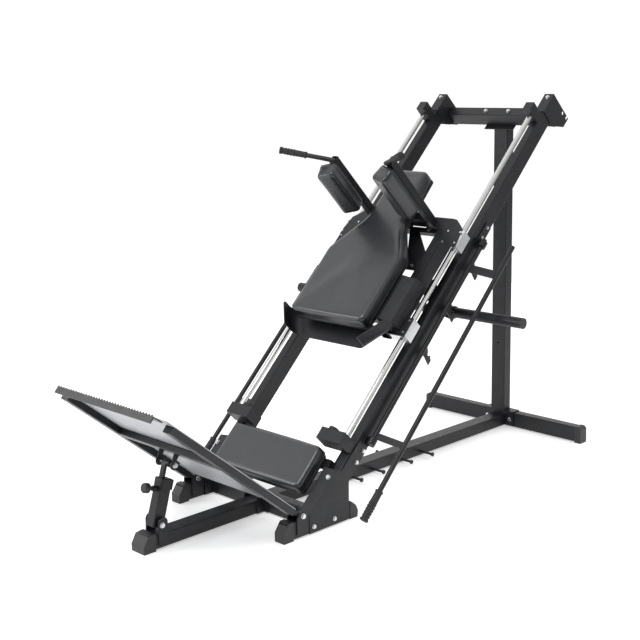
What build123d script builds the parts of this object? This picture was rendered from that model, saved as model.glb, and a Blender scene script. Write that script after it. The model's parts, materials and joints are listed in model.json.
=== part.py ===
from build123d import *
import math
import os

os.makedirs("parts", exist_ok=True)

# Hack squat machine, in millimetres, +Z up, +Y towards the rear upright.
# X = 0 is the plane of symmetry.  Y0 centres the machine on the origin and
# the floor is Z = 0.
Y0 = 679.5

# ---- driving dimensions -------------------------------------------------
RAIL_ANGLE = 45.0  # slope of the rails above the floor
RAIL_Y, RAIL_Z = 838.0, 744.0  # a point on the rails' front faces
RAIL_IN, RAIL_OUT = 309.0, 352.0  # rail faces, measured from the middle
RAIL_DEPTH = 78.0
WALL, CORNER = 2.5, 4.0  # of the rectangular tubes

ROD_X, ROD_N, ROD_R = 330.5, 46.0, 12.5  # chrome guide rods
ROD_LOW, ROD_HIGH = -650.0, 1262.0
RUN = 0.06  # running clearance on a radius

FOOT_IN, FOOT_OUT = 302.0, 352.0  # side feet
FOOT_TOP, FOOT_FRONT, FOOT_REAR = 75.0, 14.0, 372.0
SPINE_HALF, SPINE_LOW, SPINE_TOP, SPINE_FRONT = 37.5, 6.0, 62.0, -430.0
CROSS_FRONT, CROSS_REAR = 178.0, 228.0
REAR_FRONT, REAR_BACK, REAR_TOP = 1912.0, 1964.0, 81.0

HINGE_Y, HINGE_Z, HINGE_R = 94.0, 90.5, 6.0  # footplate hinge
PLATE_ANGLE = 142.0  # footplate, measured from +Y
PLATE_IN, PLATE_OUT = 303.5, 350.5  # its side tubes
PLATE_TOP, PLATE_LOW = -6.0, 22.0  # tube faces, measured from the hinge
CLEVIS_Y, CLEVIS_Z = -366.0, 98.5  # lower end of the prop
PROP_ANGLE, PIN_ALONG = 74.2, 133.0

HORN_S, HORN_N, HORN_R = 211.0, -186.0, 24.0  # weight horns
HORN_END = 685.0
SHAFT_X, SHAFT_N, SHAFT_R = 375.0, -55.0, 11.0  # safety shafts
LEVER_X, LEVER_N, LEVER_R = 517.0, -83.0, 11.0  # hand levers

# ---- frames: x stays x, the second number runs along the part and the
# third stands off it ------------------------------------------------------


def slope(y, z, angle):
    a = math.radians(angle)
    return Plane(
        origin=(0, y - Y0, z),
        x_dir=(1, 0, 0),
        z_dir=(0, -math.sin(a), math.cos(a)),
    )


FLOOR = Plane(origin=(0, -Y0, 0), x_dir=(1, 0, 0), z_dir=(0, 0, 1))
RAIL = slope(RAIL_Y, RAIL_Z, RAIL_ANGLE)
PLATE = slope(HINGE_Y, HINGE_Z, PLATE_ANGLE)
PROP = slope(CLEVIS_Y, CLEVIS_Z, PROP_ANGLE)


def block(x0, x1, a0, a1, b0, b1):
    size = (x1 - x0, a1 - a0, b1 - b0)
    middle = ((x0 + x1) / 2, (a0 + a1) / 2, (b0 + b1) / 2)
    return Pos(*middle) * Box(*size)


def tube(width, height, length, wall):
    """Rectangular tube with rounded corners, standing on XY."""
    outer = RectangleRounded(width, height, CORNER)
    inner = RectangleRounded(width - 2 * wall, height - 2 * wall, 1.5)
    return extrude(outer - inner, length)


def tube_along(x0, x1, a0, a1, b0, b1, wall=WALL):
    """Rectangular tube whose length is the second direction."""
    place = Pos((x0 + x1) / 2, a0, (b0 + b1) / 2) * Rot(-90, 0, 0)
    return place * tube(x1 - x0, b1 - b0, a1 - a0, wall)


def tube_across(x0, x1, a0, a1, b0, b1, wall=WALL):
    """Rectangular tube whose length is X."""
    place = Pos(x0, (a0 + a1) / 2, (b0 + b1) / 2) * Rot(0, 90, 0)
    return place * tube(b1 - b0, a1 - a0, x1 - x0, wall)


def tube_up(x0, x1, a0, a1, b0, b1, wall=WALL):
    """Rectangular tube whose length is the third direction."""
    place = Pos((x0 + x1) / 2, (a0 + a1) / 2, b0)
    return place * tube(x1 - x0, a1 - a0, b1 - b0, wall)


def rod_x(x0, x1, a, b, r):
    return Pos((x0 + x1) / 2, a, b) * Rot(0, 90, 0) * Cylinder(r, x1 - x0)


def rod_along(x, b, a0, a1, r):
    return Pos(x, (a0 + a1) / 2, b) * Rot(90, 0, 0) * Cylinder(r, a1 - a0)


def rod_up(x, a, b0, b1, r):
    return Pos(x, a, (b0 + b1) / 2) * Cylinder(r, b1 - b0)


def sheet_x(points, x0, x1):
    """Flat plate normal to X, outlined by (along, up) points."""
    face = Plane.YZ * make_face(Polyline(*points, close=True))
    return Pos(x0, 0, 0) * extrude(face, x1 - x0)


def sheet_up(points, b0, b1):
    """Flat plate normal to the third direction, outlined by (x, along)."""
    face = make_face(Polyline(*points, close=True))
    return Pos(0, 0, b0) * extrude(face, b1 - b0)


def sheet_y(points, a0, a1):
    """Flat plate normal to its length, outlined by (x, up) points."""
    face = Plane.XZ * make_face(Polyline(*points, close=True))
    return Pos(0, a0, 0) * extrude(face, -(a1 - a0))


def hex_bolt(r, height):
    """Hexagon head on a washer, standing on XY and pointing up."""
    washer = Pos(0, 0, 0.8) * Cylinder(r * 1.12, 1.6)
    head = Pos(0, 0, 1.6) * extrude(RegularPolygon(r, 6), height)
    return washer + head


def bolt_x(x, a, b, r=8.5, height=5.5):
    """Bolt head standing on the face at x, pointing away from the middle."""
    turn = 90 if x > 0 else -90
    return Pos(x, a, b) * Rot(0, turn, 0) * hex_bolt(r, height)


def bolt_in(x, a, b, r=8.5, height=5.5):
    """Bolt head standing on the face at x, pointing to the middle."""
    return Pos(x, a, b) * Rot(0, -90, 0) * hex_bolt(r, height)


def both(make):
    """The right-hand solid and its mirror image."""
    return [make, mirror(make, about=Plane.YZ)]


def rail_point(s, n):
    """(y, z) from the front of the side feet for a point on the rail."""
    a = math.radians(RAIL_ANGLE)
    y = RAIL_Y + s * math.cos(a) - n * math.sin(a)
    return y, RAIL_Z + s * math.sin(a) + n * math.cos(a)


nodes = {}


def keep(name, plane, *solids):
    placed = [plane.location * s for s in solids]
    shape = placed[0] if len(placed) == 1 else Compound(children=placed)
    nodes[name] = shape


# ---- base ----------------------------------------------------------------


def spine_and_feet():
    h, low, top = SPINE_HALF, SPINE_LOW, SPINE_TOP
    keep("spine_front", FLOOR, tube_along(-h, h, SPINE_FRONT, CROSS_FRONT, low, top))
    keep("spine_rear", FLOOR, tube_along(-h, h, CROSS_REAR, REAR_FRONT - 6, low, top))
    outline = [(-452, 0), (-454, 28), (-433, 66), (-407, 70), (-395, 70), (-395, 0)]
    cap = sheet_x(outline, -40, 40)
    cap -= block(-h, h, SPINE_FRONT, -390, low, top)
    keep("spine_front_cap", FLOOR, cap)

    beam = tube_across(-297, 297, CROSS_FRONT, CROSS_REAR, 5, 80)
    keep("front_crossbeam", FLOOR, beam)
    keep("crossbeam_brackets", FLOOR, *crossbeam_brackets())

    for side, name in ((1, "right"), (-1, "left")):
        foot = side_foot()
        if side < 0:
            foot = mirror(foot, about=Plane.YZ)
        keep("side_foot_" + name, FLOOR, foot)
    keep("side_foot_caps", FLOOR, *side_foot_caps())


def crossbeam_brackets():
    h = SPINE_HALF
    inner = block(h, h + 5, 133, CROSS_FRONT, 6, 76)
    inner += block(h + 5, h + 26, CROSS_FRONT - 5, CROSS_FRONT, 6, 76)
    inner += bolt_x(h + 5, 152, 40)
    outer = block(292, 297, 130, CROSS_FRONT, 8, 76)
    outer += block(268, 292, CROSS_FRONT - 5, CROSS_FRONT, 8, 76)
    outer += bolt_in(292, 150, 42)
    return both(inner) + both(outer)


def side_foot():
    foot = tube_along(FOOT_IN, FOOT_OUT, FOOT_FRONT, FOOT_REAR, 4, FOOT_TOP)
    outline = [(62, 18), (62, 90), (126, 90), (126, 18)]
    ear = sheet_x(outline, 0, 5) + rod_x(0, 5, HINGE_Y, HINGE_Z, 25)
    ear -= block(-1, 6, 60, 130, 116, 140)
    ear -= rod_x(-1, 6, HINGE_Y, HINGE_Z, HINGE_R + RUN)
    return foot + Pos(FOOT_OUT, 0, 0) * ear + Pos(FOOT_IN - 5, 0, 0) * ear


def side_foot_caps():
    """A sleeve on the front end and a plug in the rear end of each foot."""
    outline = [(-8, 0), (-9, 38), (14, 70), (20, 78), (44, 78), (44, 0)]
    front = sheet_x(outline, FOOT_IN - 2, FOOT_OUT + 2)
    front -= block(FOOT_IN, FOOT_OUT, FOOT_FRONT, 60, 4, FOOT_TOP)
    outline = [(FOOT_REAR, 0), (416, 0), (420, 26), (407, 52), (389, 67), (FOOT_REAR, 78)]
    rear = sheet_x(outline, FOOT_IN - 2, FOOT_OUT + 2)
    rear += block(FOOT_IN + 3, FOOT_OUT - 3, FOOT_REAR - 20, FOOT_REAR, 7, FOOT_TOP - 3)
    return both(front) + both(rear)


def gusset():
    """Channel that wraps the rail's lower end and stands on the side foot."""
    outline = [(131, 5), rail_point(-967, 34), rail_point(-755, 36)]
    outline += [rail_point(-735, -4), rail_point(-588, -8)]
    outline += [rail_point(-580, -20), rail_point(-580, -62)]
    outline += [rail_point(-588, -72), rail_point(-735, -72)]
    outline += [(361, 165), (361, 5)]
    front = [rail_point(-967, 34), rail_point(-755, 36)]
    front += [rail_point(-755, 31), rail_point(-967, 29)]
    body = sheet_x(outline, FOOT_OUT, FOOT_OUT + 5)
    body += sheet_x(outline, FOOT_IN - 5, FOOT_IN)
    body += sheet_x(front, FOOT_IN - 5, FOOT_OUT + 5)
    # welded tab under the lower cushion
    tab = block(180, 292, -760, -712, 11, 16) + block(292, 297, -760, -712, -35, 16)
    return body + (FLOOR.location.inverse() * RAIL.location) * tab


def rear_base():
    foot = tube_across(-478, 478, REAR_FRONT, REAR_BACK, 5, REAR_TOP)
    keep("rear_foot", FLOOR, foot)
    cap = block(464, 497, REAR_FRONT - 2, REAR_BACK + 2, 0, REAR_TOP + 2)
    cap = chamfer(cap.edges().filter_by(Axis.Y).group_by(Axis.X)[-1].sort_by(Axis.Z)[-1:], 12)
    cap -= block(460, 478, REAR_FRONT, REAR_BACK, 5, REAR_TOP)
    keep("rear_foot_caps", FLOOR, *both(cap))

    keep("band_pegs", FLOOR, *band_pegs())


def band_pegs():
    pegs = []
    for y in (710, 860, 1059, 1216):
        peg = rod_x(SPINE_HALF, 106, y, 24, 6) + rod_x(106, 112, y, 24, 10)
        pegs += both(peg)
    return pegs


# ---- rails and upright ---------------------------------------------------


def rails():
    length = tube_along(RAIL_IN, RAIL_OUT, -990, 1410, -RAIL_DEPTH, 0)
    rail = RAIL.location * length
    rail -= FLOOR.location * block(200, 500, 0, 600, -200, FOOT_TOP)
    nodes["rail_right"] = rail
    nodes["rail_left"] = mirror(rail, about=Plane.YZ)

    rod = rod_along(ROD_X, ROD_N, ROD_LOW, ROD_HIGH, ROD_R)
    keep("guide_rod_right", RAIL, rod)
    keep("guide_rod_left", RAIL, mirror(rod, about=Plane.YZ))

    upper = block(306, RAIL_OUT, 1225, 1275, 0, 91)
    upper -= rod_along(ROD_X, ROD_N, 1220, ROD_HIGH + 0.5, ROD_R + RUN)
    keep("rod_blocks_upper", RAIL, *both(upper))

    lower = block(218, RAIL_OUT, -662, -607, 13, 86)
    lower += block(RAIL_IN, RAIL_OUT, -655, -615, 0, 13)
    lower -= rod_along(ROD_X, ROD_N, ROD_LOW - 0.5, -600, ROD_R + RUN)
    keep("rod_blocks_lower", RAIL, *both(lower))
    stop = rod_along(268, 66, -607, -594, 23)
    stop = fillet(stop.edges().group_by(Axis.Y)[-1], 3)
    keep("bump_stops", RAIL, *both(stop))


def rail_heads():
    """Folded channel on each rail's top end, reaching back to the crossbeam."""
    outline = [(1297, 0), (1416, 0), (1422, -176), (1363, -176)]
    outline += [(1288, -89), (1297, -70)]
    cheek = sheet_x(outline, 0, 4) - rod_x(-1, 5, 1406, -122, 9)
    cheek -= block(-1, 5, 1404, 1440, -170, -156)
    head = Pos(RAIL_OUT, 0, 0) * cheek + Pos(RAIL_IN - 5, 0, 0) * cheek
    head += block(RAIL_IN - 5, RAIL_OUT + 4, 1297, 1416, 0, 4)
    return head


def top_and_upright():
    keep("rail_heads", RAIL, *both(rail_heads()))
    beam = tube_across(-304, 304, 1343, 1398, -151, -76)
    keep("top_crossbeam", RAIL, beam)

    post = tube_up(-41.5, 41.5, 1895, 1952, REAR_TOP + 5, 1700)
    post += block(-92, 92, REAR_FRONT - 6, REAR_FRONT, 8, REAR_TOP + 5)
    post += block(-92, 92, REAR_FRONT, REAR_BACK, REAR_TOP, REAR_TOP + 5)
    post = FLOOR.location * post
    post -= RAIL.location * block(-200, 200, 1000, 1900, -156, 300)
    post += RAIL.location * block(-90, 90, 1318, 1405, -156, -151)
    for z in (447, 1300):
        post -= FLOOR.location * Pos(0, 1895, z) * Rot(90, 0, 0) * Cylinder(5, 12)
    nodes["upright_post"] = post


# ---- lower cushion -------------------------------------------------------


def rounded_slab(x0, x1, a0, a1, b0, b1, corner, edge):
    slab = block(x0, x1, a0, a1, b0, b1)
    slab = fillet(slab.edges().filter_by(Axis.Z), corner)
    return fillet(slab.faces().sort_by(Axis.Z)[-1].edges(), edge)


def seat():
    pad = rounded_slab(-272, 272, -900, -688, 30, 88, 22, 14)
    keep("seat_pad", RAIL, pad)
    board = rounded_slab(-262, 262, -890, -698, 16, 30, 18, 2)
    keep("seat_board", RAIL, board)


# ---- safety bearings -----------------------------------------------------


def safety_bearings():
    """Sleeves on the rails' outer faces that carry the safety shafts."""
    solids = []
    for low, plate_end in ((497, 622), (-574, -544)):
        sleeve = rod_along(SHAFT_X, SHAFT_N, low, low + 30, 20)
        sleeve += block(RAIL_OUT, RAIL_OUT + 5, low, plate_end, -74, -30)
        sleeve -= rod_along(SHAFT_X, SHAFT_N, low - 1, low + 31, SHAFT_R + RUN)
        sleeve -= block(300, RAIL_OUT, low - 1, low + 31, -100, 0)
        solids += both(sleeve)
    return solids


def frame_bolts():
    rail = RAIL.location
    floor = FLOOR.location
    heads = []
    for s, n in ((-606, -57), (-664, -54)):
        heads += both(rail * bolt_x(FOOT_OUT + 5, s, n))
    for s in (548, 606):
        heads += both(rail * bolt_x(RAIL_OUT + 5, s, -50, 7, 4.5))
    for y, z in ((154, 31), (273, 31)):
        heads += both(floor * bolt_x(FOOT_OUT + 5, y, z))
    for x in (-70, 70):
        heads.append(rail * Pos(x, 1372, -76) * hex_bolt(9, 6))
    for x in (-70, 70):
        front = Pos(x, REAR_FRONT - 6, 42) * Rot(90, 0, 0) * hex_bolt(9, 6)
        heads.append(floor * front)
    heads += both(rail * Pos(332, 1391, 4) * hex_bolt(9, 6))
    heads += both(rail * Pos(346, -794, 36) * hex_bolt(9, 6))
    return heads


def hinge_bolts():
    """Through bolts of the footplate hinge, with a head and a nut."""
    pin = rod_x(FOOT_IN - 5, FOOT_OUT + 5, HINGE_Y, HINGE_Z, HINGE_R)
    pin += bolt_x(FOOT_OUT + 5, HINGE_Y, HINGE_Z, 10, 6)
    pin += bolt_in(FOOT_IN - 5, HINGE_Y, HINGE_Z, 10, 7)
    low = rod_x(-42.5, 42.5, CLEVIS_Y, CLEVIS_Z, 6)
    low += bolt_x(42.5, CLEVIS_Y, CLEVIS_Z, 10, 6)
    low += bolt_x(-42.5, CLEVIS_Y, CLEVIS_Z, 10, 7)
    return both(pin) + [low]


# ---- sled ----------------------------------------------------------------


def sled_side():
    """Long tube, bearing plate and the foot of the shoulder arm."""
    side = tube_along(212, 262, -108, 545, 30, 78)
    outline = [(262, -108), (358, -108), (358, -12), (334, -12), (334, 390)]
    outline += [(352, 390), (352, 415), (337, 500), (288, 541), (262, 545)]
    side += sheet_up(outline, 73, 78)
    side += block(140, 262, 480, 545, 73, 78)
    return side + side_box()


def side_box():
    """Folded cover beside the back pad, closed at both ends."""
    outer = [(228, 78), (228, 150), (243, 150), (304, 134), (320, 118), (326, 78)]
    inner = [(231, 77), (231, 147), (243, 147), (302, 131), (317, 116), (323, 77)]
    return sheet_y(outer, -83, 155) - sheet_y(inner, -80, 152)


def bearing_block(s):
    body = block(262, 360, s, s + 92, 17, 73)
    body = chamfer(body.edges().filter_by(Axis.Y), 2)
    return body - rod_along(ROD_X, ROD_N, s - 1, s + 93, ROD_R + RUN)


def pad_outline(grow):
    g = grow
    right = [(226 + g, -150 - g), (226 + g, 222), (108 + g, 412), (94 + g, 718 + g)]
    left = [(-x, s) for x, s in reversed(right)]
    return right + left


def back_pad():
    pad = sheet_up(pad_outline(0), 146, 215)
    corners = pad.edges().filter_by(Axis.Z)
    pad = fillet(corners, 24)
    return fillet(pad.faces().sort_by(Axis.Z)[-1].edges(), 14)


def sled_frame():
    for side, name in ((1, "right"), (-1, "left")):
        part = sled_side()
        if side < 0:
            part = mirror(part, about=Plane.YZ)
        keep("sled_side_" + name, RAIL, part)
    upper = tube_across(-212, 212, 465, 493, 30, 60)
    upper += block(-45, 45, 465, 493, 60, 134)
    arms = tube_across(-140, 140, 493, 536, 60, 118)
    lower = tube_across(-228, 228, -70, -20, 78, 134)
    keep("sled_crossbars", RAIL, upper, arms, lower)
    blocks = []
    for s in (-104, 394):
        blocks += both(bearing_block(s))
    keep("bearing_blocks", RAIL, *blocks)
    outline = [(40, 465), (98, 465), (212, 340), (212, 248), (120, 248), (120, 300)]
    brace = sheet_up(outline, 54, 60)
    keep("pad_braces", RAIL, *both(brace))


def pads():
    keep("back_pad", RAIL, back_pad())
    board = sheet_up(pad_outline(-6), 134, 146)
    keep("back_board", RAIL, fillet(board.edges().filter_by(Axis.Z), 16))


# The shoulder pads stand up from the rails and turn outwards a little.
PAD_X, PAD_S, PAD_TURN = 170.0, 427.0, 17.0
PAD_LOW, PAD_HIGH = 242.0, 520.0


def shoulder_pad():
    pad = block(-46, 46, -40, 32, PAD_LOW, PAD_HIGH)
    front = pad.edges().filter_by(Axis.X).group_by(Axis.Y)[0]
    pad = fillet(front, 22)
    pad = fillet(pad.edges().filter_by(Axis.Z).group_by(Axis.Y)[0], 14)
    return Pos(PAD_X, PAD_S, 0) * Rot(0, 0, -PAD_TURN) * pad


def shoulder_arm():
    """Upright tube with the board that the shoulder pad is screwed to."""
    board = block(-40, 40, 32, 42, PAD_LOW + 12, PAD_HIGH - 8)
    board = Pos(PAD_X, PAD_S, 0) * Rot(0, 0, -PAD_TURN) * board
    post = tube_up(158, 192, 0, 40, 78, 508)
    return post, board


def handle_ends():
    start = Vector(156, 489, 512)
    end = Vector(368, 419, 649)
    return start, end


def rod_between(start, end, r):
    plane = Plane(origin=start, z_dir=(end - start).normalized())
    length = (end - start).length
    return plane * Pos(0, 0, length / 2) * Cylinder(r, length)


def shoulders():
    post, board = shoulder_arm()
    start, end = handle_ends()
    arm = Pos(0, 480, 0) * post + board - rod_between(start, end, 11)
    keep("shoulder_arms", RAIL, *both(arm))
    pad = shoulder_pad()
    keep("shoulder_pad_right", RAIL, pad)
    keep("shoulder_pad_left", RAIL, mirror(pad, about=Plane.YZ))


def handles():
    start, end = handle_ends()
    way = (end - start).normalized()
    bar = rod_between(start, end - way * 4, 11)
    keep("handles", RAIL, *both(bar))
    grip = rod_between(end - way * 128, end, 15.5)
    grip -= rod_between(end - way * 130, end - way * 4, 11)
    keep("handle_grips", RAIL, *both(grip))


def foot_tray():
    """Shallow tray below the back pad, its two sides bent up on a big radius."""
    inside = sheet_up([(-210.1, -230), (210.1, -230), (326.2, -80), (-326.2, -80)], 96, 190)
    tray = sheet_up([(-226, -216), (226, -216), (322, -92), (-322, -92)], 92, 184)
    tray = fillet(tray.edges().group_by(Axis.Z)[-1].sort_by(Axis.Y)[-1], 25)
    tray = fillet(bend_edges(tray), 45) - fillet(bend_edges(inside), 41)
    for x in (-262, 212):
        tray += block(x, x + 50, -104, -92, 78, 92)
    return tray


def bend_edges(form):
    """The two slanted edges at the bottom of a tapered block."""
    bottom = form.edges().group_by(Axis.Z)[0]
    return [e for e in bottom if abs(e.tangent_at(0.5).Y) > 0.1]


def carrier():
    """Plates that reach down between the rails, and the bar they hold."""
    outline = [(150, 73), (150, -120), (186, -212), (238, -212), (240, -110), (232, 73)]
    frame = rod_x(-284, 284, HORN_S, HORN_N, 20)
    for half in both(sheet_x(outline, 284, 290) + rod_x(290, 368, 166, -119, 7)):
        frame += half
    keep("carrier_frame", RAIL, frame)
    horn = rod_x(290, HORN_END, HORN_S, HORN_N, HORN_R)
    horn += rod_x(300, 316, HORN_S, HORN_N, 29)
    horn -= rod_x(320, HORN_END + 1, HORN_S, HORN_N, HORN_R - 3)
    keep("weight_horns", RAIL, *both(horn))
    cap = rod_x(HORN_END, HORN_END + 5, HORN_S, HORN_N, HORN_R)
    cap += rod_x(HORN_END - 20, HORN_END, HORN_S, HORN_N, HORN_R - 3)
    keep("horn_caps", RAIL, *both(cap))


def sled_screws():
    heads = []
    for s in (394, -104):
        for ds in (15, 77):
            for x in (277, 345):
                heads += both(rod_up(x, s + ds, 78, 81.6, 5))
    heads += both(Pos(147, 479, 60) * hex_bolt(8, 5))
    heads += both(Pos(167, 269, 60) * hex_bolt(7, 4.5))
    return heads


# ---- safety levers -------------------------------------------------------


def hook(tip):
    """Plate hook under the rail, open up the slope."""
    points = [(8, -60), (8, -88), (-2, -132), (20, -132), (34, -112)]
    points += [(24, -106), (26, -94), (38, -88), (58, -60)]
    return sheet_x([(tip + s, n) for s, n in points], 370, 376)


def safety_lever():
    """Shaft with three hooks, and the hand bar welded to it by two arms."""
    lever = rod_along(SHAFT_X, SHAFT_N, -574, 540, SHAFT_R)
    for tip in (-107, 126, 365):
        lever += hook(tip)
    lever += rod_along(LEVER_X, LEVER_N, -862, 538, LEVER_R)
    outline = [(SHAFT_X, SHAFT_N + 3), (LEVER_X, LEVER_N + 3)]
    outline += [(LEVER_X, LEVER_N - 3), (SHAFT_X, SHAFT_N - 3)]
    for low, high in ((-542, -512), (353, 393)):
        lever += sheet_y(outline, low, high)
    return lever


def lever_grip():
    """Ribbed rubber sleeve on the hand lever's lower end."""
    grip = rod_along(LEVER_X, LEVER_N, -879, -742, 15)
    for i in range(7):
        ring = rod_along(LEVER_X, LEVER_N, -864 + i * 17, -858 + i * 17, 16.5)
        grip += ring
    return grip - rod_along(LEVER_X, LEVER_N, -862, -732, LEVER_R)


def levers():
    for name, make in (("safety_lever", safety_lever()), ("lever_grip", lever_grip())):
        keep(name + "_right", RAIL, make)
        keep(name + "_left", RAIL, mirror(make, about=Plane.YZ))


# ---- footplate -----------------------------------------------------------


def footplate_tube():
    """Side tube with the hinge knuckle welded to its lower end."""
    side = tube_along(PLATE_IN, PLATE_OUT, 45, 800, PLATE_TOP, PLATE_LOW)
    knuckle = rod_x(PLATE_IN, PLATE_OUT, 0, 0, 13)
    knuckle += block(PLATE_IN, PLATE_OUT, 0, 45, 0, 13)
    knuckle -= rod_x(300, 354, 0, 0, HINGE_R + RUN)
    return side + knuckle


def tread():
    """Angle strip along the top edge, with a row of teeth."""
    strip = block(-306, 306, 826, 875, PLATE_TOP, PLATE_TOP + 4)
    strip += block(-306, 306, 871, 875, PLATE_TOP, PLATE_LOW)
    count = 36
    pitch = 612 / count
    for i in range(count):
        x = -306 + i * pitch
        tooth = [(x, PLATE_TOP), (x + pitch * 0.55, PLATE_TOP), (x + pitch * 0.3, PLATE_TOP - 5)]
        strip += sheet_y(tooth, 871, 875)
    return strip


def prop_bracket():
    low = PLATE_LOW
    ear = sheet_x([(434, low), (486, low), (472, 64), (442, 64)], 44, 49)
    ear -= block(40, 52, 430, 460, 10, 40)
    ear += rod_x(44, 49, TOP_L, TOP_K, 20)
    ear -= rod_x(40, 52, TOP_L, TOP_K, 6)
    return ear


def prop_length():
    """Puts both ends of the prop equally far from the footplate's hinge."""
    a = math.radians(PROP_ANGLE)
    away = (HINGE_Y - CLEVIS_Y) * math.cos(a) + (HINGE_Z - CLEVIS_Z) * math.sin(a)
    return 2 * away


def prop_top():
    """The prop's upper pivot, in the footplate's own directions."""
    a = math.radians(PROP_ANGLE)
    y = CLEVIS_Y + PROP_LENGTH * math.cos(a) - HINGE_Y
    z = CLEVIS_Z + PROP_LENGTH * math.sin(a) - HINGE_Z
    t = math.radians(PLATE_ANGLE)
    return y * math.cos(t) + z * math.sin(t), -y * math.sin(t) + z * math.cos(t)


PROP_LENGTH = prop_length()
TOP_L, TOP_K = prop_top()


def footplate():
    side = footplate_tube()
    keep("footplate_tube_right", PLATE, side)
    keep("footplate_tube_left", PLATE, mirror(side, about=Plane.YZ))
    sheet = block(-347, 347, 40, 846, PLATE_TOP - 4, PLATE_TOP)
    sheet = fillet(sheet.edges().filter_by(Axis.Z), 6)
    keep("footplate_sheet", PLATE, sheet)
    crossbar = tube_across(-PLATE_IN, PLATE_IN, 460, 500, PLATE_TOP, PLATE_LOW)
    for ear in both(prop_bracket()):
        crossbar += ear
    keep("footplate_crossbar", PLATE, crossbar)
    keep("footplate_tread", PLATE, tread())
    cap = block(PLATE_IN, PLATE_OUT, 800, 804, PLATE_TOP, PLATE_LOW)
    keep("footplate_caps", PLATE, *both(cap))
    pin = rod_x(-49, 49, TOP_L, TOP_K, 6)
    pin += bolt_x(49, TOP_L, TOP_K, 10, 6) + bolt_x(-49, TOP_L, TOP_K, 10, 7)
    keep("prop_top_bolt", PLATE, pin)


# ---- prop ----------------------------------------------------------------


def clevis():
    ear = sheet_x([(-382, 20), (-382, 106), (-338, 106), (-338, 20)], 37.5, 42.5)
    ear += rod_x(37.5, 42.5, -360, 106, 22)
    return ear - rod_x(30, 50, CLEVIS_Y, CLEVIS_Z, 6 + RUN)


def prop_sleeve():
    """Tube with two liners that guide the bar, and a boss for the pull pin."""
    sleeve = tube_along(-23.5, 23.5, -14, 176, -26, 27, 3)
    sleeve += block(-22, 22, 14, 40, -24, 25) + block(-22, 22, 118, 174, -24, 25)
    sleeve += block(-27, 27, 134, 174, -29, 23) - block(-22, 22, 130, 180, -24, 25)
    sleeve += rod_x(-37, 37, 0, 0, 11) + rod_up(0, PIN_ALONG, 26, 49, 11)
    sleeve -= block(-11.1, 11.1, 12, 180, 4.9, 19.1)
    sleeve -= rod_x(-40, 40, 0, 0, 6 + RUN)
    return sleeve - rod_up(0, PIN_ALONG, 12, 51, 5 + RUN)


def prop_bar():
    top = PROP_LENGTH
    bar = sheet_x([(40, 5), (top, 5), (top + 4, 12), (top - 14, 19), (40, 19)], -11, 11)
    bar += rod_x(-22, 22, PROP_LENGTH, 0, 13)
    bar -= rod_x(-25, 25, PROP_LENGTH, 0, 7)
    for i in range(5):
        bar -= rod_up(0, PIN_ALONG + 23 - 23 * i, 0, 24, 5.3)
    return bar


def pull_knob():
    """Pin with a round head; its tip stops 2 mm short of the bar."""
    knob = fillet(Cylinder(20, 27).edges().filter_by(GeomType.CIRCLE), 6)
    return Pos(0, PIN_ALONG, 81) * knob + rod_up(0, PIN_ALONG, 21, 69, 5)


def prop():
    keep("prop_clevis", FLOOR, *both(clevis()))
    keep("prop_sleeve", PROP, prop_sleeve())
    keep("prop_bar", PROP, prop_bar())
    keep("pull_knob", PROP, pull_knob())


spine_and_feet()
keep("gusset_right", FLOOR, gusset())
keep("gusset_left", FLOOR, mirror(gusset(), about=Plane.YZ))
rear_base()
rails()
top_and_upright()
seat()
keep("safety_bearings", RAIL, *safety_bearings())
sled_frame()
pads()
shoulders()
handles()
keep("foot_tray", RAIL, foot_tray())
carrier()
keep("sled_screws", RAIL, *sled_screws())
levers()
footplate()
prop()
keep("frame_bolts", Plane.XY, *frame_bolts())
keep("hinge_bolts", FLOOR, *hinge_bolts())

for name, shape in nodes.items():
    export_step(shape, "parts/" + name + ".step")
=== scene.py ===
import bpy
import bmesh
import json
import math
from mathutils import Matrix, Vector


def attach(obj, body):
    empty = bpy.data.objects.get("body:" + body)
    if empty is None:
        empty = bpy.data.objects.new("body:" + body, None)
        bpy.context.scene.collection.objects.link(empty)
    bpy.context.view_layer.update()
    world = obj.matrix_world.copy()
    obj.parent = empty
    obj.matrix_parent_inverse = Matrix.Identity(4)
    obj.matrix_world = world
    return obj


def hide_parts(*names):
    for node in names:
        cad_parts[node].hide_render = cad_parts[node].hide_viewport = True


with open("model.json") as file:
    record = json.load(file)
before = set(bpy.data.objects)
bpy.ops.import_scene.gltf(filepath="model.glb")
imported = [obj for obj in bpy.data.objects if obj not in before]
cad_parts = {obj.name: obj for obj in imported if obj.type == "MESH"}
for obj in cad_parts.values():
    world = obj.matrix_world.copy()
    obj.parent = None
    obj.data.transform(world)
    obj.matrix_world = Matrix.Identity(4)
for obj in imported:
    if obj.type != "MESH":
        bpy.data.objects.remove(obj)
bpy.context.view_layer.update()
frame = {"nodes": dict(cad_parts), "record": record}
nodes = frame["nodes"]
scene = bpy.context.scene
scene.view_settings.view_transform = "Standard"

# ---- directions ------------------------------------------------------------
# The rails' own axes: across the machine, up the slope, and off their fronts.

SLOPE = math.radians(45)
ACROSS = Vector((1, 0, 0))
ALONG = Vector((0, math.cos(SLOPE), math.sin(SLOPE)))
OFF = Vector((0, -math.sin(SLOPE), math.cos(SLOPE)))
RAIL_POINT = Vector((0, 0.1585, 0.744))


def on_rail(x, s, n):
    return RAIL_POINT + ACROSS * x + ALONG * s + OFF * n


# ---- materials -----------------------------------------------------------


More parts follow.
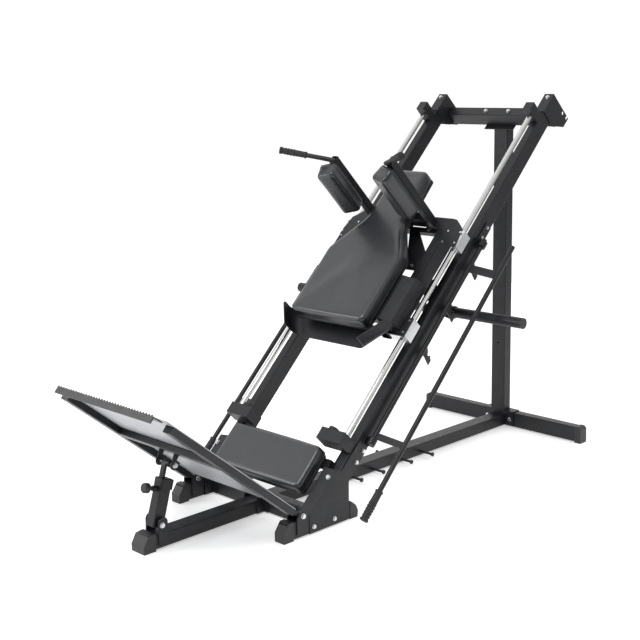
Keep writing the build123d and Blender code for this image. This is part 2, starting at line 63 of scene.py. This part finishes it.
class Maker:
    """Builds a node material whose patterns follow the object's own metres."""

    def __init__(self, name):
        self.material = bpy.data.materials.new(name)
        self.material.use_nodes = True
        self.tree = self.material.node_tree
        self.shader = self.tree.nodes["Principled BSDF"]
        self.place = self.tree.nodes.new("ShaderNodeTexCoord").outputs["Object"]

    def link(self, a, b):
        self.tree.links.new(a, b)

    def set(self, **values):
        for name, value in values.items():
            self.shader.inputs[name.replace("_", " ")].default_value = value
        return self

    def stretched(self, scale):
        node = self.tree.nodes.new("ShaderNodeMapping")
        node.inputs["Scale"].default_value = scale
        self.link(self.place, node.inputs["Vector"])
        return node.outputs["Vector"]

    def noise(self, scale, detail=3.0, stretch=(1, 1, 1)):
        node = self.tree.nodes.new("ShaderNodeTexNoise")
        node.inputs["Scale"].default_value = scale
        node.inputs["Detail"].default_value = detail
        self.link(self.stretched(stretch), node.inputs["Vector"])
        return node.outputs["Fac"]

    def cells(self, scale):
        node = self.tree.nodes.new("ShaderNodeTexVoronoi")
        node.feature = "DISTANCE_TO_EDGE"
        node.inputs["Scale"].default_value = scale
        self.link(self.place, node.inputs["Vector"])
        return node.outputs["Distance"]

    def ranged(self, value, low, high, at=(0.3, 0.7)):
        node = self.tree.nodes.new("ShaderNodeMapRange")
        node.inputs["From Min"].default_value = at[0]
        node.inputs["From Max"].default_value = at[1]
        node.inputs["To Min"].default_value = low
        node.inputs["To Max"].default_value = high
        self.link(value, node.inputs["Value"])
        return node.outputs["Result"]

    def colours(self, value, dark, light):
        node = self.tree.nodes.new("ShaderNodeValToRGB")
        node.color_ramp.elements[0].position = 0.3
        node.color_ramp.elements[1].position = 0.7
        node.color_ramp.elements[0].color = (*dark, 1)
        node.color_ramp.elements[1].color = (*light, 1)
        self.link(value, node.inputs["Fac"])
        self.link(node.outputs["Color"], self.shader.inputs["Base Color"])

    def roughness(self, value, low, high):
        self.link(self.ranged(value, low, high), self.shader.inputs["Roughness"])

    def bumps(self, normal, *layers):
        """Each layer is (height, strength, depth in metres)."""
        for height, strength, depth in layers:
            node = self.tree.nodes.new("ShaderNodeBump")
            node.inputs["Strength"].default_value = strength
            node.inputs["Distance"].default_value = depth
            self.link(height, node.inputs["Height"])
            if normal:
                self.link(normal, node.inputs["Normal"])
            normal = node.outputs["Normal"]
        self.link(normal, self.shader.inputs["Normal"])

    def soft_edges(self, radius):
        """Rounds the shading of sharp edges, and the bumps sit on top of it."""
        node = self.tree.nodes.new("ShaderNodeBevel")
        node.samples = 4
        node.inputs["Radius"].default_value = radius
        return node.outputs["Normal"]


def powder_coat(name, dark, light, rough=(0.34, 0.46)):
    m = Maker(name)
    m.set(Specular_IOR_Level=0.36)
    m.colours(m.noise(14, 4), dark, light)
    m.roughness(m.noise(60, 3), *rough)
    m.bumps(m.soft_edges(0.0012), (m.noise(900, 2), 0.3, 0.0003), (m.noise(9, 2), 0.08, 0.002))
    return m.material


def vinyl(name):
    m = Maker(name)
    m.set(Coat_Weight=0.5, Coat_Roughness=0.2, Specular_IOR_Level=0.5)
    m.colours(m.noise(30, 4), (0.008, 0.009, 0.012), (0.012, 0.0135, 0.018))
    m.roughness(m.noise(45, 4), 0.30, 0.38)
    grain = m.ranged(m.cells(520), 0, 1, (0.0, 0.25))
    m.bumps(None, (grain, 0.2, 0.0004), (m.noise(11, 2), 0.06, 0.004))
    return m.material


def polished(name, colour, rough, streak):
    m = Maker(name)
    m.set(Metallic=1.0)
    bright = tuple(min(1.0, c * 1.08) for c in colour)
    m.colours(m.noise(40, 3, streak), colour, bright)
    m.roughness(m.noise(120, 4, streak), *rough)
    m.bumps(m.soft_edges(0.0008), (m.noise(300, 3, streak), 0.08, 0.0002))
    return m.material


def moulded(name, dark, light, rough):
    m = Maker(name)
    m.colours(m.noise(80, 3), dark, light)
    m.roughness(m.noise(200, 3), *rough)
    m.bumps(m.soft_edges(0.0015), (m.noise(1300, 2), 0.3, 0.0002))
    return m.material


BLACK = powder_coat("black_powder_coat", (0.007, 0.0075, 0.009), (0.012, 0.0125, 0.015))
GREY = powder_coat("grey_powder_coat", (0.30, 0.31, 0.33), (0.36, 0.37, 0.39))
VINYL = vinyl("black_vinyl")
CHROME = polished("chrome", (0.56, 0.56, 0.55), (0.07, 0.14), (1, 1, 1))
ALUMINIUM = polished("cast_aluminium", (0.66, 0.67, 0.69), (0.26, 0.38), (1, 4, 1))
ZINC = polished("zinc_plate", (0.60, 0.61, 0.63), (0.2, 0.34), (1, 1, 1))
PLASTIC = moulded("black_plastic", (0.010, 0.010, 0.011), (0.018, 0.018, 0.020), (0.42, 0.55))
RUBBER = moulded("black_rubber", (0.008, 0.008, 0.008), (0.016, 0.016, 0.016), (0.6, 0.75))
BOARD = moulded("painted_board", (0.010, 0.009, 0.008), (0.022, 0.020, 0.018), (0.6, 0.8))

FINISH = {
    "black_steel": BLACK,
    "grey_steel": GREY,
    "black_plastic": PLASTIC,
    "black_rubber": RUBBER,
    "black_vinyl": VINYL,
    "black_board": BOARD,
    "chrome": CHROME,
    "aluminium": ALUMINIUM,
    "zinc": ZINC,
}


def paint(obj, material):
    obj.data.materials.clear()
    obj.data.materials.append(material)


def paint_nodes():
    for row in frame["record"]["subparts"]:
        paint(nodes[row["node"]], FINISH[row["material_slot"]])


# ---- pieces ----------------------------------------------------------------


def new_piece(name, build):
    mesh = bpy.data.meshes.new(name)
    build.to_mesh(mesh)
    build.free()
    piece = bpy.data.objects.new(name, mesh)
    scene.collection.objects.link(piece)
    return piece


def finish_piece(piece, body, slot, *replaced):
    paint(piece, FINISH[slot])
    for face in piece.data.polygons:
        face.use_smooth = True
    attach(piece, body)
    if replaced:
        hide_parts(*replaced)
    return piece


def add_tube(build, points, radii, closed=False, sides=12):
    """A tube through the points, each ring with its own radius."""
    count = len(points)
    rings = []
    across = None
    for i, point in enumerate(points):
        ahead = points[(i + 1) % count] if closed or i < count - 1 else point
        behind = points[i - 1] if closed or i > 0 else point
        way = (ahead - behind).normalized()
        if across is None:
            across = way.orthogonal()
        across = (across - way * across.dot(way)).normalized()
        up = way.cross(across)
        ring = []
        for k in range(sides):
            a = math.tau * k / sides
            spoke = across * math.cos(a) + up * math.sin(a)
            ring.append(build.verts.new(point + spoke * radii[i]))
        rings.append(ring)
    last = count if closed else count - 1
    for i in range(last):
        low, high = rings[i], rings[(i + 1) % count]
        for k in range(sides):
            n = (k + 1) % sides
            build.faces.new((low[k], low[n], high[n], high[k]))
    if not closed:
        build.faces.new(rings[0][::-1])
        build.faces.new(rings[-1])


# ---- cushions --------------------------------------------------------------

HELD_DEPTH = 0.006  # of the edge that is fixed to the board
PRESSURE, MOST_PUFF, CLOTH_FRAMES = 2, 0.004, 20
WELT_RADIUS, WELT_STEP = 0.0016, 0.006
PAD_TURN = math.radians(17)  # the shoulder pads turn outwards


def evaluated_mesh(piece):
    graph = bpy.context.evaluated_depsgraph_get()
    return bpy.data.meshes.new_from_object(piece.evaluated_get(graph))


def apply_modifiers(piece):
    piece.data = evaluated_mesh(piece)
    piece.modifiers.clear()


def span(mesh, way):
    along = [v.co.dot(way) for v in mesh.vertices]
    return min(along), max(along)


def draw_in(mesh, axes, inset):
    """Makes the form smaller by the inset on each side."""
    spans = [span(mesh, way) for way in axes]
    for v in mesh.vertices:
        move = Vector()
        for way, (low, high) in zip(axes, spans):
            middle = (low + high) / 2
            move -= way * (v.co.dot(way) - middle) * inset * 2 / (high - low)
        v.co += move


def inflate(piece, out):
    """Blows the cover up like foam under it, held where it meets its board."""
    start = [v.co.copy() for v in piece.data.vertices]
    low = span(piece.data, out)[0]
    held = piece.vertex_groups.new(name="held")
    fixed = [i for i, v in enumerate(start) if v.dot(out) < low + HELD_DEPTH]
    held.add(fixed, 1, "REPLACE")
    cloth = piece.modifiers.new("cloth", "CLOTH")
    rules = cloth.settings
    rules.quality = 4
    rules.mass = 0.3
    rules.tension_stiffness = 40
    rules.compression_stiffness = 40
    rules.shear_stiffness = 25
    rules.bending_stiffness = 20
    rules.shrink_min = 0.03
    rules.use_pressure = True
    rules.uniform_pressure_force = PRESSURE
    rules.effector_weights.gravity = 0
    rules.vertex_group_mass = "held"
    cloth.collision_settings.use_collision = False
    for step in range(1, CLOTH_FRAMES + 1):
        scene.frame_set(step)
    apply_modifiers(piece)
    scene.frame_set(1)
    for v, old in zip(piece.data.vertices, start):
        move = v.co - old
        if move.length > MOST_PUFF:
            v.co = old + move * MOST_PUFF / move.length
    piece.vertex_groups.clear()


def outline(mesh, way, level):
    """The closed line round a form where a plane across `way` cuts it."""
    build = bmesh.new()
    build.from_mesh(mesh)
    everything = build.verts[:] + build.edges[:] + build.faces[:]
    cut = bmesh.ops.bisect_plane(
        build, geom=everything, plane_co=way * level, plane_no=way, clear_outer=True
    )["geom_cut"]
    around = {v: [] for v in cut if isinstance(v, bmesh.types.BMVert)}
    for edge in cut:
        if isinstance(edge, bmesh.types.BMEdge):
            a, b = edge.verts
            around[a].append(b)
            around[b].append(a)
    first = min(around, key=lambda v: tuple(v.co))
    line, before, here = [first.co.copy()], None, first
    while True:
        onward = [v for v in around[here] if v is not before]
        before, here = here, onward[0] if onward else first
        if here is first or len(line) > len(around):
            break
        line.append(here.co.copy())
    build.free()
    return line


def even(line, step):
    """The same closed line with points about `step` apart, smoothed."""
    lengths = [(b - a).length for a, b in zip(line, line[1:] + line[:1])]
    count = max(12, round(sum(lengths) / step))
    pitch = sum(lengths) / count
    points, travelled, wanted = [], 0.0, 0.0
    for i, length in enumerate(lengths):
        while wanted <= travelled + length and len(points) < count:
            part = (wanted - travelled) / length if length else 0
            points.append(line[i].lerp(line[(i + 1) % len(line)], part))
            wanted += pitch
        travelled += length
    for _ in range(4):
        points = [
            (points[i - 1] + points[i] * 2 + points[(i + 1) % len(points)]) / 4
            for i in range(len(points))
        ]
    return points


def cushion(name, body, out, side, voxel, inset, drops):
    """A sewn pad over the CAD solid of the same name.

    `out` points away from its board, and a welt runs round it at each of the
    `drops` below its crown.
    """
    source = nodes[name]
    axes = (side, out.cross(side), out)
    piece = bpy.data.objects.new(name + "_cover", source.data.copy())
    scene.collection.objects.link(piece)
    draw_in(piece.data, axes, inset)
    remesh = piece.modifiers.new("remesh", "REMESH")
    remesh.mode = "VOXEL"
    remesh.voxel_size = voxel
    smooth = piece.modifiers.new("smooth", "SMOOTH")
    smooth.iterations = 3
    apply_modifiers(piece)
    inflate(piece, out)
    piece.modifiers.new("smooth", "SMOOTH").iterations = 26
    finer = piece.modifiers.new("finer", "SUBSURF")
    finer.levels = finer.render_levels = 1
    apply_modifiers(piece)
    build = bmesh.new()
    build.from_mesh(piece.data)
    high = span(piece.data, out)[1]
    for drop in drops:
        line = even(outline(piece.data, out, high - drop), WELT_STEP)
        add_tube(build, line, [WELT_RADIUS] * len(line), closed=True, sides=8)
    build.to_mesh(piece.data)
    build.free()
    finish_piece(piece, body, "black_vinyl", name)


def cushions():
    cushion("seat_pad", "frame", OFF, ACROSS, 0.006, 0.0, (0.017, 0.050))
    cushion("back_pad", "sled", OFF, ACROSS, 0.007, 0.0, (0.019, 0.058))
    for name, way in (("shoulder_pad_right", 1), ("shoulder_pad_left", -1)):
        turn = way * PAD_TURN
        out = -ACROSS * math.sin(turn) - ALONG * math.cos(turn)
        cushion(name, "sled", out, OFF, 0.0045, -0.001, (0.016, 0.060))


# ---- grips and welds -------------------------------------------------------

GRIP_RINGS, RIB_PITCH = 96, 0.014
COLLAR_END, RIBS_START, FLARE_START = 0.06, 0.42, 0.93  # parts of its length
WELD_RADIUS, WELD_PITCH = 0.0028, 0.003
HANDLE_START = Vector((0.156, 0.489, 0.512))
HANDLE_END = Vector((0.368, 0.419, 0.649))
HANDLE_GRIP, HANDLE_RADIUS, LEVER_RADIUS = 0.128, 0.0155, 0.0165
LEVER_X, LEVER_N, LEVER_LOW, LEVER_HIGH = 0.517, -0.083, -0.879, -0.742


def add_grip(build, start, end, radius):
    """Rubber sleeve: a collar, a plain waist, ribs, and a flared end."""
    length = (end - start).length
    points, radii = [], []
    for i in range(GRIP_RINGS + 1):
        t = i / GRIP_RINGS
        r = radius * (0.9 + 0.06 * math.sin(math.pi * t))
        if t < COLLAR_END:
            r = radius * 1.04
        if t > RIBS_START:
            wave = math.sin(t * length / RIB_PITCH * math.tau)
            r += radius * 0.12 * max(0.0, wave) ** 0.5
        if t > FLARE_START:
            onward = (t - FLARE_START) / (1 - FLARE_START)
            r = radius * (1.04 + 0.10 * math.sin(math.pi * onward))
        points.append(start.lerp(end, t))
        radii.append(r)
    add_tube(build, points, radii, sides=32)


def grips():
    way = (HANDLE_END - HANDLE_START).normalized()
    inner = HANDLE_END - way * HANDLE_GRIP
    build = bmesh.new()
    for side, word in ((1, "right"), (-1, "left")):
        low = on_rail(side * LEVER_X, LEVER_HIGH, LEVER_N)
        tip = on_rail(side * LEVER_X, LEVER_LOW, LEVER_N)
        sleeve = bmesh.new()
        add_grip(sleeve, low, tip, LEVER_RADIUS)
        name = "lever_grip_" + word
        piece = new_piece(name + "_sleeve", sleeve)
        finish_piece(piece, "lever_" + word, "black_rubber", name)
        start = on_rail(side * inner.x, inner.y, inner.z)
        end = on_rail(side * HANDLE_END.x, HANDLE_END.y, HANDLE_END.z)
        add_grip(build, start, end, HANDLE_RADIUS)
    finish_piece(new_piece("handle_sleeves", build), "sled", "black_rubber", "handle_grips")


def bead(build, corners, closed=False):
    """A rippled weld along straight runs between the corners."""
    points = []
    ends = corners[1:] + corners[:1] if closed else corners[1:]
    for a, b in zip(corners, ends):
        count = max(2, round((b - a).length / WELD_PITCH * 2))
        points += [a.lerp(b, i / count) for i in range(count)]
    if not closed:
        points.append(corners[-1])
    radii = [WELD_RADIUS * (1 + 0.16 * (i % 2)) for i in range(len(points))]
    add_tube(build, points, radii, closed, sides=6)


def ring(centre, across, up, radius, count=40):
    turns = (math.tau * i / count for i in range(count))
    return [centre + across * math.cos(a) * radius + up * math.sin(a) * radius for a in turns]


def rail_loop(x0, x1, s0, s1, n):
    corners = ((x0, s0), (x1, s0), (x1, s1), (x0, s1))
    return [on_rail(x, s, n) for x, s in corners]


def welds():
    """Beads round the posts' feet and the horns' roots, and along the plates."""
    sled = bmesh.new()
    for side in (1, -1):
        bead(sled, rail_loop(side * 0.158, side * 0.192, 0.480, 0.520, 0.079), closed=True)
        centre = on_rail(side * 0.2905, 0.211, -0.186)
        bead(sled, ring(centre, ALONG, OFF, 0.025), closed=True)
        edge = [on_rail(side * 0.262, s, 0.0785) for s in (-0.012, 0.390)]
        bead(sled, edge)
    finish_piece(new_piece("sled_welds", sled), "sled", "black_steel")


# ---- room ----------------------------------------------------------------

# The photographer's place and aim, found from the machine's edges.
CAMERA_PLACE = (3.5114, -3.6818, 1.7809)
CAMERA_TURNS = (44.56, 6.74, -0.38)  # yaw, pitch and roll in degrees
CAMERA_LENS, CAMERA_SHIFT = 64.8, -0.1488

BEHIND = (-0.35, 0.35, 0.87)  # up and away from the camera
BACKDROP = 1.05  # what the camera sees, just past white
FLOOR_HALF, FLOOR_DROP = 5, 0.0005


def camera():
    data = bpy.data.cameras.new("camera")
    data.lens = CAMERA_LENS
    data.shift_y = CAMERA_SHIFT
    eye = bpy.data.objects.new("camera", data)
    scene.collection.objects.link(eye)
    yaw, pitch, roll = (math.radians(a) for a in CAMERA_TURNS)
    back = Vector((
        math.sin(yaw) * math.cos(pitch),
        -math.cos(yaw) * math.cos(pitch),
        math.sin(pitch),
    ))
    right = Vector((math.cos(yaw), math.sin(yaw), 0))
    up = back.cross(right)
    right, up = (
        right * math.cos(roll) + up * math.sin(roll),
        up * math.cos(roll) - right * math.sin(roll),
    )
    turn = Matrix((right, up, back)).transposed().to_4x4()
    eye.matrix_world = Matrix.Translation(CAMERA_PLACE) @ turn
    scene.camera = eye


def light(name, place, aim, size, watts):
    data = bpy.data.lights.new(name, "AREA")
    data.shape = "RECTANGLE"
    data.size, data.size_y = size
    data.energy = watts
    lamp = bpy.data.objects.new(name, data)
    scene.collection.objects.link(lamp)
    lamp.location = place
    lamp.rotation_mode = "QUATERNION"
    way = Vector(aim) - Vector(place)
    lamp.rotation_quaternion = way.to_track_quat("-Z", "Y")


def floor_material():
    """Pale floor that glows a little, as a lit sweep does."""
    m = Maker("pale_floor")
    m.colours(m.noise(3, 2), (0.84, 0.84, 0.84), (0.86, 0.86, 0.86))
    m.roughness(m.noise(20, 2), 0.55, 0.6)
    m.set(Emission_Color=(1, 1, 1, 1), Emission_Strength=0.42)
    return m.material


def studio():
    """White to the eye, but brighter behind the machine than in front of it."""
    world = bpy.data.worlds.new("studio")
    world.use_nodes = True
    tree = world.node_tree
    shade = tree.nodes["Background"]
    place = tree.nodes.new("ShaderNodeTexCoord")
    away = tree.nodes.new("ShaderNodeVectorMath")
    away.operation = "DOT_PRODUCT"
    away.inputs[1].default_value = BEHIND
    tree.links.new(place.outputs["Generated"], away.inputs[0])
    glow = tree.nodes.new("ShaderNodeMapRange")
    glow.inputs["From Min"].default_value = -0.35
    glow.inputs["From Max"].default_value = 0.9
    glow.inputs["To Min"].default_value = 0.12
    glow.inputs["To Max"].default_value = 1.25
    tree.links.new(away.outputs["Value"], glow.inputs["Value"])
    ray = tree.nodes.new("ShaderNodeLightPath")
    seen = tree.nodes.new("ShaderNodeMix")
    factor, lighting, sight = seen.inputs[0], seen.inputs[2], seen.inputs[3]
    sight.default_value = BACKDROP
    tree.links.new(ray.outputs["Is Camera Ray"], factor)
    tree.links.new(glow.outputs["Result"], lighting)
    tree.links.new(seen.outputs[0], shade.inputs["Strength"])
    shade.inputs["Color"].default_value = (1, 1, 1, 1)
    scene.world = world


def room():
    build = bmesh.new()
    bmesh.ops.create_grid(build, x_segments=8, y_segments=8, size=FLOOR_HALF)
    floor = new_piece("floor", build)
    floor.location.z = -FLOOR_DROP
    paint(floor, floor_material())
    studio()
    light("key", (1.0, -3.2, 4.4), (0, -0.2, 0.7), (3.0, 2.0), 110)
    light("side", (4.6, 0.8, 2.6), (0, 0.2, 0.8), (2.4, 2.4), 15)
    light("left", (-2.0, -3.0, 1.8), (0, -0.9, 0.4), (1.6, 1.6), 45)


paint_nodes()
cushions()
grips()
welds()
camera()
room()
